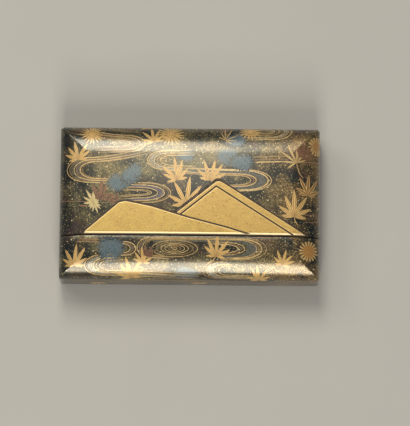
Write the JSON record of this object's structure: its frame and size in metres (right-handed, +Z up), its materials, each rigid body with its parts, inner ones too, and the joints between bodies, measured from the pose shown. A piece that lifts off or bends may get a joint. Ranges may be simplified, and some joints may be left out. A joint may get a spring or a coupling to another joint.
{
  "type": "small lacquer box",
  "caption": "Low rounded lacquer case in two flush pieces, a base with a riser and a pull-off lid, with two gold hills in low relief on its face.",
  "frame": {"origin": "centre of the underside, on the surface that the box lies on", "axes": "+Z up out of the decorated face, +X along the length, +Y from the base towards the lid, which pulls off that way"},
  "size_m": [0.096, 0.057, 0.0223],
  "materials": {
    "lacquer": "glossy black-brown lacquer over wood, filled with gold flakes and powder",
    "gold": "satin gold powder laid on lacquer",
    "colour": "coloured and silvery powder under clear lacquer, flush with the ground"
  },
  "bodies": {
    "root": {"base": "lacquer", "lid": "lacquer"}
  },
  "joints": []
}
